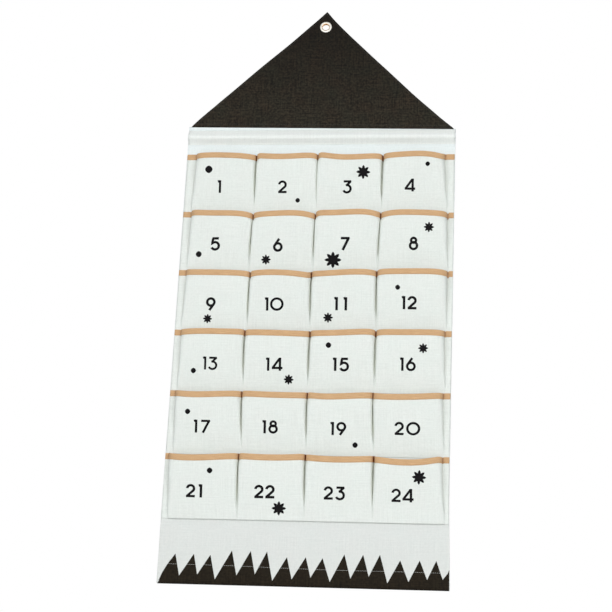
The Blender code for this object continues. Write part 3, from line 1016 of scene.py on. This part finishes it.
def stripPoint(row, column, down, level):
    kind, side = columnKinds[column].T
    x, y, z = pocketPoint(row, np.clip(kind, 0, lastPocket).astype(int), side, down, level)
    # the flat strip beside the outer pockets
    left, right = kind < 0, kind > lastPocket
    edge = halfWidth - 0.5 * mm
    first, last = [2 * pockets["width"] - pleatHalf(row, seam, down) for seam in (0, pockets["perRow"])]
    x = np.where(left, -edge + (edge - first) * side, x)
    x = np.where(right, last + (edge - last) * side, x)
    y = np.where(left | right, -seatAt(down), y)
    drop = np.where(left, *stripDrop[row]) * (1 - np.clip(down, 0, 1))
    z = np.where(left | right, level - drop - footFall(row, x, down), z)
    x = x + wander(row, x, down)
    return joined(x + edgeWander(x, z), y + hang(x, z), z)


def mouthLine(row, down):
    # the strip's run at its tape, as deep as it is at that share of its height
    count = len(everyColumn)
    return stripPoint(row, everyColumn, np.full(count, down), np.full(count, tapeZ(row)))


def makePocketCloth(row):
    lower, foot = stripEnds(row)
    top = tapeZ(row) + pockets["halfTape"] - 0.9 * mm
    shares = np.linspace(0, 1, pockets["lines"])[1:]
    levels = np.concatenate([np.linspace(top, lower, 5), lower + (foot - lower) * shares])
    downs = np.concatenate([np.zeros(5), shares])

    def place(column, line):
        return stripPoint(row, column, downs[line], levels[line])

    across = travelAlong(mouthLine(row, 0.2))
    inside = creaseShadeMask[:, None] * (1 - smooth(0.5, 0.8, downs))
    # each strip is cut from another part of the cloth
    flatAcross, flatDown = across + 0.003 * row, top - levels + 0.11 * row
    piece = clothGrid(f"pocketCloth{row + 1}", flatAcross, flatDown, place, canvas, cloth * 0.95, inside)
    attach(piece, "panel")
    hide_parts(f"pocket_row_{row + 1}")


tape = {
    "reach": 0.66 * mm,
    "thick": 0.5 * mm,
    "wave": 0.12 * mm,
    "stitchUp": 1.3 * mm,
    "stitchOut": 0.28 * mm,
}


def makeTape(row):
    # folded over the strip's top edge: front leaf, round the fold, back leaf
    half, reach = pockets["halfTape"], tape["reach"]
    crest = half - reach
    outline = [(reach, h) for h in np.linspace(-half, crest, 9)]
    outline += [(reach * math.cos(t), crest + reach * math.sin(t)) for t in np.linspace(0, math.pi, 7)[1:-1]]
    outline += [(-reach, h) for h in np.linspace(crest, -half, 8)]
    outline = np.array(outline)
    mouth = mouthLine(row, 0.0)
    run = np.gradient(mouth[:, :2], axis=0)
    run /= np.linalg.norm(run, axis=1, keepdims=True)
    out = joined(run[:, 1], -run[:, 0], 0 * run[:, 0])

    def place(column, edge):
        offset, height = outline[edge].T
        x = mouth[column, 0]
        wave = tape["wave"] * waves(x, height * 3, 0.012, 91 + row) * (np.abs(height - crest) > 1 * mm)
        offset = offset + np.sign(offset) * np.abs(wave) * 0.6
        return mouth[column] + out[column] * offset[:, None] + joined(0 * x, 0 * x, height)

    across = travelAlong(mouthLine(row, 0.2))
    downs = travelAlong(outline)
    inside = np.repeat(creaseShadeMask[:, None], len(downs), 1)
    piece = clothGrid(f"tape{row + 1}", across, downs, place, cottonTape, tape["thick"], inside)
    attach(piece, "panel")
    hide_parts(f"binding_{row + 1}")
    # the line that holds the tape, near its lower edge
    return mouth + out * (reach + tape["stitchOut"]) + (0, 0, tape["stitchUp"] - half), out


tapeLines = []
for row in range(pockets["rows"]):
    makePocketCloth(row)
    tapeLines.append(makeTape(row))
sewStitches("tapeStitches", tapeLines, tanThread, "panel")
print("pockets and tapes made")


# the other seams, on the front and again on the back

# the line above the border: mm from the middle, mm above the foot
footLine = [(-230, 31.0), (-105, 30.1), (-33, 28.4), (62, 27.1), (155, 27.3), (230, 26.7)]


def backFace(x, z):
    hem = np.where(np.abs(x) > halfWidth - panel["sideHem"] - 0.2 * mm, panel["layer"], 0)
    return hang(x, z) + cloth / 2 + hem


def panelStitches():
    front, back = [], []

    def addSeam(x, y, z, shown=True):
        if shown:
            front.append(sewnLine(x, y, z, -1))
        back.append(sewnLine(x, backFace(x, z), z, 1))

    for row in range(pockets["rows"]):
        lower, foot = stripEnds(row)
        level = np.full(len(everyColumn) - 2, foot + 1.3 * mm)
        x, y, z = stripPoint(row, everyColumn[1:-1], (lower - level) / (lower - foot), level).T
        addSeam(x, y - cloth / 2, z)
        down = np.linspace(-0.09, 0.99, 140)
        for seam, even in enumerate(seamPlaces):
            pocket, side = (seam, -1.0) if seam <= lastPocket else (lastPocket, 1.0)
            _, y, z = pocketPoint(row, pocket, side, down, lower + (foot - lower) * down)
            x = even + wander(row, np.full_like(z, even), down)
            addSeam(x, hang(x, z) + y - cloth / 2, z, 0 < seam <= lastPocket)
    edge = halfWidth - 1.5 * mm
    x = np.linspace(-edge, edge, 700)
    for height in (sleeve["top"] - 1.2 * mm, sleeve["foot"] + 1.3 * mm):
        z = np.full_like(x, height)
        addSeam(x, hang(x, z) + sleeve["seat"] - cloth / 2, z)
    z = footZ + np.interp(x, *np.transpose(footLine) * mm)
    front.append(sewnLine(x, hang(x, z) - cloth / 2, z, -1))
    back.append(sewnLine(x, hang(x, z) + panel["layer"] * 1.1 + cloth / 2 + hemStack(x), z, 1))
    z = np.linspace(foldZ - 7 * mm, footZ + 34 * mm, 900)
    for side in (-1, 1):
        x = np.full_like(z, side * (halfWidth - panel["sideHem"] + 2.2 * mm))
        back.append(sewnLine(x, hang(x, z) + panel["layer"] + cloth / 2, z, 1))
    sewStitches("frontStitches", front, whiteThread, "panel")
    sewStitches("backStitches", back, whiteThread, "panel")


panelStitches()
print("seams sewn")


# printed numbers, stars, dots and the toothed border

ink = {
    "height": 21.2 * mm,
    "wider": 1.045,
    "stroke": 0.176,
    "lift": 0.1 * mm,
    "layer": 0.015 * mm,
    "turned": 9.0 * mm,
    "gap": 0.17,
    "gaps": {
        "10": 0.13, "11": 0.38, "13": 0.1, "15": 0.2, "17": 0.26,
        "21": 0.2, "22": 0.13, "23": 0.13, "24": 0.1,
    },
    # how heavily some numbers came out, and how tall each row's are
    "weights": {
        5: 1.09, 6: 1.09, 7: 1.12, 8: 1.05, 9: 1.09, 11: 1.09,
        12: 1.05, 13: 0.92, 15: 1.06, 21: 1.05, 22: 1.08, 24: 0.97,
    },
    "rowHeights": (1.01, 1.01, 1.005, 0.995, 0.975, 0.975),
}


def arc(x, y, radius, first, last, steps):
    turns = np.radians(np.linspace(first, last, steps))
    return [(x + radius * math.cos(t), y + radius * math.sin(t)) for t in turns]


def digitStrokes():
    # centre lines in shares of the height, and how wide each digit is
    h = ink["stroke"] / 2
    top = 1 - h
    bowl = (0.365, 0.335, 0.285)
    return {
        "0": ([arc(0.51, 0.5, 0.425, 0, 360, 48)], 1.02),
        "1": ([[(0.05, 0.90), (0.20, 0.935)], [(0.225, 1.0), (0.225, 0.0)]], 0.31),
        "2": ([arc(0.34, 0.665, 0.25, 175, -38, 26) + [(0.10, h + 0.02)], [(0.02, h), (0.67, h)]], 0.68),
        "3": ([[(0.11, top), (0.69, top)], [(0.66, 0.93), (0.33, 0.60)], arc(*bowl, 108, -155, 30)], 0.74),
        "4": (
            [[(0.60, 0.95), (0.09, 0.23)], [(0.02, 0.215), (0.82, 0.215)], [(0.625, 1.0), (0.625, 0.0)]],
            0.82,
        ),
        "5": ([[(0.15, top), (0.65, top)], [(0.215, top), (0.15, 0.53)] + arc(*bowl, 134, -155, 30)], 0.74),
        "6": ([arc(0.365, 0.35, 0.275, 0, 360, 38), [(0.125, 0.475), (0.46, 0.98)]], 0.73),
        "7": ([[(0.02, top), (0.68, top)], [(0.625, 0.95), (0.17, 0.0)]], 0.71),
        "8": ([arc(0.365, 0.735, 0.185, 0, 360, 34), arc(0.365, 0.335, 0.262, 0, 360, 38)], 0.73),
        "9": ([arc(0.365, 0.65, 0.275, 0, 360, 38), [(0.605, 0.525), (0.27, 0.02)]], 0.73),
    }


digits = digitStrokes()


def strokeBand(line, width, step=0.05):
    # points at the left, middle and right of a pen stroke, mitred at its corners
    line = np.array(line, float)
    closed = np.allclose(line[0], line[-1])
    spots = [line[0]]
    for first, last in zip(line[:-1], line[1:]):
        count = max(1, int(np.linalg.norm(last - first) / step))
        spots += [first + (last - first) * part / count for part in range(1, count + 1)]
    spots = np.array(spots)
    run = np.diff(spots, axis=0)
    run /= np.linalg.norm(run, axis=1, keepdims=True)
    before = np.vstack([run[-1:] if closed else run[:1], run])
    after = np.vstack([run, run[:1] if closed else run[-1:]])
    normal = np.stack([-(before + after)[:, 1], (before + after)[:, 0]], 1)
    normal /= np.linalg.norm(normal, axis=1, keepdims=True)
    square = np.stack([-after[:, 1], after[:, 0]], 1)
    stretch = 1 / np.clip((normal * square).sum(1, keepdims=True), 0.5, 1)
    return [spots + normal * stretch * width / 2 * part for part in (1, 0, -1)]


def gridFaces(lanes, count, base=0):
    corners = [base + lane * count + step for lane in range(lanes - 1) for step in range(count - 1)]
    return [(corner, corner + count, corner + count + 1, corner + 1) for corner in corners]


def stackBands(bands):
    # each stroke lies a little over the last, so that two that cross don't share a surface
    points, faces = [], []
    for level, band in enumerate(bands):
        faces += gridFaces(len(band), len(band[0]), len(points))
        points += [(x, y, level) for row in band for x, y in row]
    return points, faces


def printMesh(name, points, faces, material):
    mesh = bpy.data.meshes.new(name)
    mesh.from_pydata(points.tolist(), [], faces)
    setMap(mesh, "flat", points[:, [0, 2]])
    mesh.shade_smooth()
    addPiece(name, mesh, material, "panel")


def printOn(name, points, faces, lifts):
    # points are (x, z) on the pockets' faces
    x, z = np.array(points, float).T
    printMesh(name, joined(x, pocketFace(x, z) - lifts, z), faces, printInk)


# where each number stands: mm right of its pocket's middle, mm below its tape's middle
numberPlaces = [
    (-7.1, 57.5), (-6.5, 58.6), (-5.0, 58.5), (-7.4, 56.0),
    (-7.1, 56.9), (-8.7, 59.7), (-4.0, 56.8), (1.4, 56.1),
    (-8.2, 58.4), (-10.2, 58.8), (-8.2, 57.6), (-3.8, 55.0),
    (-3.0, 56.4), (-5.1, 57.1), (-3.8, 56.3), (-3.3, 54.9),
    (-9.6, 58.4), (-6.2, 57.8), (-4.0, 59.1), (-1.0, 57.3),
    (-14.8, 60.5), (-9.4, 59.7), (-5.7, 59.7), (-5.9, 61.2),
]


def printNumbers():
    points, faces, lifts = [], [], []
    for index, (right, below) in enumerate(numberPlaces):
        row, pocket = divmod(index, pockets["perRow"])
        centreX = pocketCentre(pocket) + right * mm
        centreZ = tapeZ(row) - below * mm
        text = str(index + 1)
        gap = ink["gaps"].get(text, ink["gap"])
        weight = ink["stroke"] * ink["weights"].get(index + 1, 1)
        wide, tall = ink["height"] * ink["wider"], ink["height"] * ink["rowHeights"][row]
        total = sum(digits[digit][1] for digit in text) + gap * (len(text) - 1)
        start = -total / 2
        for digit in text:
            strokes, width = digits[digit]
            bands = [strokeBand(stroke, weight) for stroke in strokes]
            spots, quads = stackBands(bands)
            base = len(points)
            for x, y, level in spots:
                points.append((centreX + (start + x) * wide, centreZ + (y - 0.5) * tall))
                lifts.append(ink["lift"] + level * ink["layer"])
            faces += [tuple(base + corner for corner in quad) for quad in quads]
            start += width + gap
    printOn("printedNumbers", points, faces, np.array(lifts))


printNumbers()

# (pocket's number, mm right of its middle, mm below its tape, mm radius)
starPlaces = [
    (3, 22.2, 33.7, 12.8), (6, -28.7, 83.4, 9.0), (7, -24.2, 83.6, 15.2), (8, 26.6, 29.2, 9.3),
    (9, -13.0, 82.7, 8.4), (11, -28.3, 80.2, 8.9), (14, 19.8, 81.4, 9.0), (16, 21.6, 29.0, 8.9),
    (22, 14.5, 85.2, 12.5), (24, 19.9, 32.6, 12.2),
]
dotPlaces = [
    (1, -25.7, 28.2, 6.4), (2, 20.1, 81.2, 3.9), (4, 22.2, 20.7, 3.9), (5, -34.8, 74.4, 5.1),
    (12, -22.5, 30.2, 4.1), (13, -30.3, 68.6, 4.4), (15, -24.4, 25.7, 4.6), (17, -33.7, 35.0, 4.4),
    (19, 24.0, 84.3, 4.4), (21, 9.4, 28.0, 4.6),
]
star = {"reach": 0.95, "inner": 0.57, "swell": 1.05, "flat": 0.94}


def printMarks():
    points, faces = [], []

    def addShape(number, right, below, radii, tall=1):
        row, pocket = divmod(number - 1, pockets["perRow"])
        centreX, centreZ = pocketCentre(pocket) + right * mm, tapeZ(row) - below * mm
        base, count, rings = len(points), len(radii), 4
        points.append((centreX, centreZ))
        for ring in range(1, rings + 1):
            for step, radius in enumerate(radii):
                turn = 2 * math.pi * step / count + 0.02 * (number % 5 - 2)
                reach = radius * ring / rings
                points.append((centreX + reach * math.sin(turn), centreZ + tall * reach * math.cos(turn)))
        for step in range(count):
            after = (step + 1) % count
            faces.append((base, base + 1 + after, base + 1 + step))
            for ring in range(rings - 1):
                low, high = base + 1 + ring * count, base + 1 + (ring + 1) * count
                faces.append((low + step, low + after, high + after, high + step))

    for number, right, below, radius in starPlaces:
        outer = radius * star["reach"] * mm
        inner = outer * star["inner"]
        # a slightly swollen flank between each point and each notch
        notchUp, notchAside = inner * math.cos(math.pi / 8), inner * math.sin(math.pi / 8)
        middle = star["swell"] * math.hypot((outer + notchUp) / 2, notchAside / 2)
        # the two large stars low on their pockets are a little flattened
        tall = star["flat"] if radius > 12 and below > 80 else 1
        addShape(number, right, below, [outer, middle, inner, middle] * 8, tall)
    # the dots are dabbed on, a little squarer than round
    turns = np.linspace(0, 2 * math.pi, 29)[:-1]
    dab = (np.abs(np.cos(turns)) ** 1.7 + np.abs(np.sin(turns)) ** 1.7) ** (-1 / 1.7)
    for number, right, below, radius in dotPlaces:
        addShape(number, right, below, dab * radius * mm)
    printOn("printedMarks", points, faces, ink["lift"])


printMarks()

# the border's outline: mm from the middle, mm above the foot
borderOutline = [
    (-229.6, -1.0), (-227.7, 2.0), (-221.9, 17.2), (-214.2, 30.8), (-202.7, 47.5), (-194.7, 12.4),
    (-173.0, 47.8), (-165.9, 14.9), (-146.5, 46.9), (-137.3, 7.9), (-112.3, 54.6), (-103.1, 15.0),
    (-82.1, 54.6), (-73.7, 17.4), (-55.9, 54.2), (-45.4, 7.9), (-23.7, 46.0), (-14.7, 11.0), (6.4, 46.8),
    (15.0, 14.2), (33.0, 45.7), (45.8, 8.4), (67.5, 52.7), (78.1, 14.4), (97.2, 52.9), (106.9, 18.2),
    (123.7, 53.4), (136.3, 8.8), (155.1, 45.3), (168.0, 11.4), (184.5, 46.0), (195.8, 15.7), (209.7, 45.8),
    (219.5, 16.4), (227.2, 26.5), (229.6, 32.0),
]


def printBorder():
    outline = np.array(borderOutline) * mm
    xs = np.unique(np.concatenate([np.linspace(outline[0, 0], outline[-1, 0], 300), outline[:, 0]]))
    ups = np.interp(xs, outline[:, 0], outline[:, 1])
    # how far down the cloth the outline lies; the print goes round the foot and a little up behind
    lowest = int(np.argmin(panelPath[:, 1]))
    starts = np.interp(footZ + ups, panelPath[lowest::-1, 1], pathTravel[lowest::-1])
    turned = panelDowns[(panelDowns >= frontEnd) & (panelDowns < pathTravel[lowest] + ink["turned"])]
    above = np.minimum(starts, frontEnd)
    travels = [above + (frontEnd - above) * share for share in np.linspace(0, 1, 27)[:-1]]
    travels += [np.full_like(xs, travel) for travel in turned]
    lift = np.full_like(xs, -cloth / 2 - ink["lift"])
    points = np.concatenate([panelPoint(xs, np.maximum(travel, starts), lift) for travel in travels])
    printMesh("printedBorder", points, gridFaces(len(travels), len(xs)), borderInk)


printBorder()
print("prints made")


# finishes of the CAD pieces that stay

def dowelWood():
    material, tree, shader = newMaterial("dowelWood")
    grain = noiseNode(tree, stretchNode(tree, objectPlace(tree), (9, 420, 420)), 1, 5)["Fac"]
    setInputs(tree, shader, {
        "Base Color": rampNode(tree, grain, 0.3, 0.72, (0.4, 0.25, 0.12), (0.66, 0.47, 0.28)),
        "Normal": bumpNode(tree, grain, 0.25, 0.2 * mm),
        "Roughness": 0.55,
    })
    return material


def eyeletMetal():
    material, tree, shader = newMaterial("eyeletMetal")
    place = objectPlace(tree)
    wearAndGlint = noiseNode(tree, place, 160, 4)["Fac"]
    ring = rampNode(tree, wearAndGlint, 0.35, 0.65, (0.95, 0.9, 0.8), (1.0, 0.97, 0.9))
    # the ring's near-white colour is pale metal with painted highlight in it; the barrel inside it is brown
    # brass with painted shade in its hollow
    around = stretchNode(tree, place, (1, 0, 1))
    radius = makeNode(tree, "VectorMath", {0: around}, operation="LENGTH").outputs["Value"]
    inside = rangeNode(tree, radius, fromMin=7.4 * mm, fromMax=6.3 * mm)
    setInputs(tree, shader, {
        "Base Color": colourMix(tree, "MIX", inside, ring, (0.42, 0.2, 0.05)),
        "Roughness": rangeNode(tree, wearAndGlint, toMin=0.3, toMax=0.42),
        "Metallic": 0.55,
    })
    return material


wood, metal = dowelWood(), eyeletMetal()
for name, material in (("top_rod", wood), ("bottom_rod", wood), ("eyelet", metal), ("eyelet_washer", metal)):
    for slot in frame["nodes"][name].material_slots:
        slot.material = material
print("CAD pieces finished")


# floor, light and camera

def makeFloor():
    shape = bmesh.new()
    bmesh.ops.create_grid(shape, x_segments=1, y_segments=1, size=40)
    material, tree, shader = newMaterial("floorPaint")
    setInputs(tree, shader, {"Base Color": (0.5, 0.5, 0.5, 1), "Roughness": 0.9})
    # seen straight on, the floor is nearly as pale as the backdrop
    pale = makeNode(tree, "Emission", {"Color": (0.93, 0.93, 0.93, 1)}).outputs[0]
    seen = mathNode(tree, "MULTIPLY", makeNode(tree, "LightPath", {}).outputs["Is Camera Ray"], 0.8)
    blend = makeNode(tree, "MixShader", {0: seen, 1: shader.outputs[0], 2: pale}).outputs[0]
    setInputs(tree, tree.nodes["Material Output"], {"Surface": blend})
    floor = addPiece("floor", takeMesh(shape, "floor"), material)
    floor.location = (0, 0, footZ - 0.62)


def makeWorld():
    world = bpy.data.worlds.new("studio")
    bpy.context.scene.world = world
    world.use_nodes = True
    tree = world.node_tree
    tree.nodes.clear()
    paper = makeNode(tree, "Background", {"Color": (1, 1, 1, 1), "Strength": 1.0}).outputs[0]
    # the room's light comes more from above than from below
    up = splitNode(tree, makeNode(tree, "TexCoord", {}).outputs["Generated"])[2]
    strength = rangeNode(tree, up, fromMin=-0.3, fromMax=0.3, toMin=0.14, toMax=0.5)
    fill = makeNode(tree, "Background", {"Color": (0.96, 0.98, 1.0, 1), "Strength": strength}).outputs[0]
    seen = makeNode(tree, "LightPath", {}).outputs["Is Camera Ray"]
    light = makeNode(tree, "MixShader", {0: seen, 1: fill, 2: paper}).outputs[0]
    makeNode(tree, "OutputWorld", {0: light})


makeFloor()
makeWorld()

# each lamp's place, size and power; all are turned to the middle of the panel
lamps = {
    "leftLight": ((-1.7, -3.0, -0.53), 1.4, 32.2),
    "rightLight": ((1.9, -3.0, -0.53), 1.4, 38.2),
    "frontLight": ((0.25, -3.3, -0.5), 1.2, 24),
    "backLight": ((0.6, 2.6, 0.6), 2.0, 40),
}


def addLight(name, spot, size, energy):
    lamp = bpy.data.lights.new(name, "AREA")
    lamp.shape = "RECTANGLE"
    lamp.size, lamp.size_y = size, size
    lamp.energy = energy
    holder = bpy.data.objects.new(name, lamp)
    bpy.context.scene.collection.objects.link(holder)
    holder.location = spot
    aim = Vector((0, 0, -0.5)) - Vector(spot)
    holder.rotation_euler = aim.to_track_quat("-Z", "Y").to_euler()


for name, (spot, size, energy) in lamps.items():
    addLight(name, spot, size, energy)


def addCamera():
    # the photograph's viewpoint, its directions right, down and ahead, and its focal length in pixels
    view = {
        "place": (0.31647, -2.62175, -1.40849),
        "right": Vector((0.993001, 0.109362, 0.044593)),
        "down": Vector((0.007004, 0.322375, -0.946586)),
        "ahead": Vector((-0.117896, 0.940274, 0.319353)),
        "focal": 1676.47,
        "pixels": 612,
        "sensor": 36,
    }
    data = bpy.data.cameras.new("camera")
    data.sensor_width = view["sensor"]
    data.lens = view["focal"] / view["pixels"] * view["sensor"]
    data.clip_start, data.clip_end = 0.05, 50
    camera = bpy.data.objects.new("camera", data)
    bpy.context.scene.collection.objects.link(camera)
    turn = Matrix((view["right"], -view["down"], -view["ahead"])).transposed()
    camera.matrix_world = Matrix.Translation(view["place"]) @ turn.to_4x4()
    bpy.context.scene.camera = camera


addCamera()
bpy.context.scene.view_settings.view_transform = "Standard"
print("studio set")
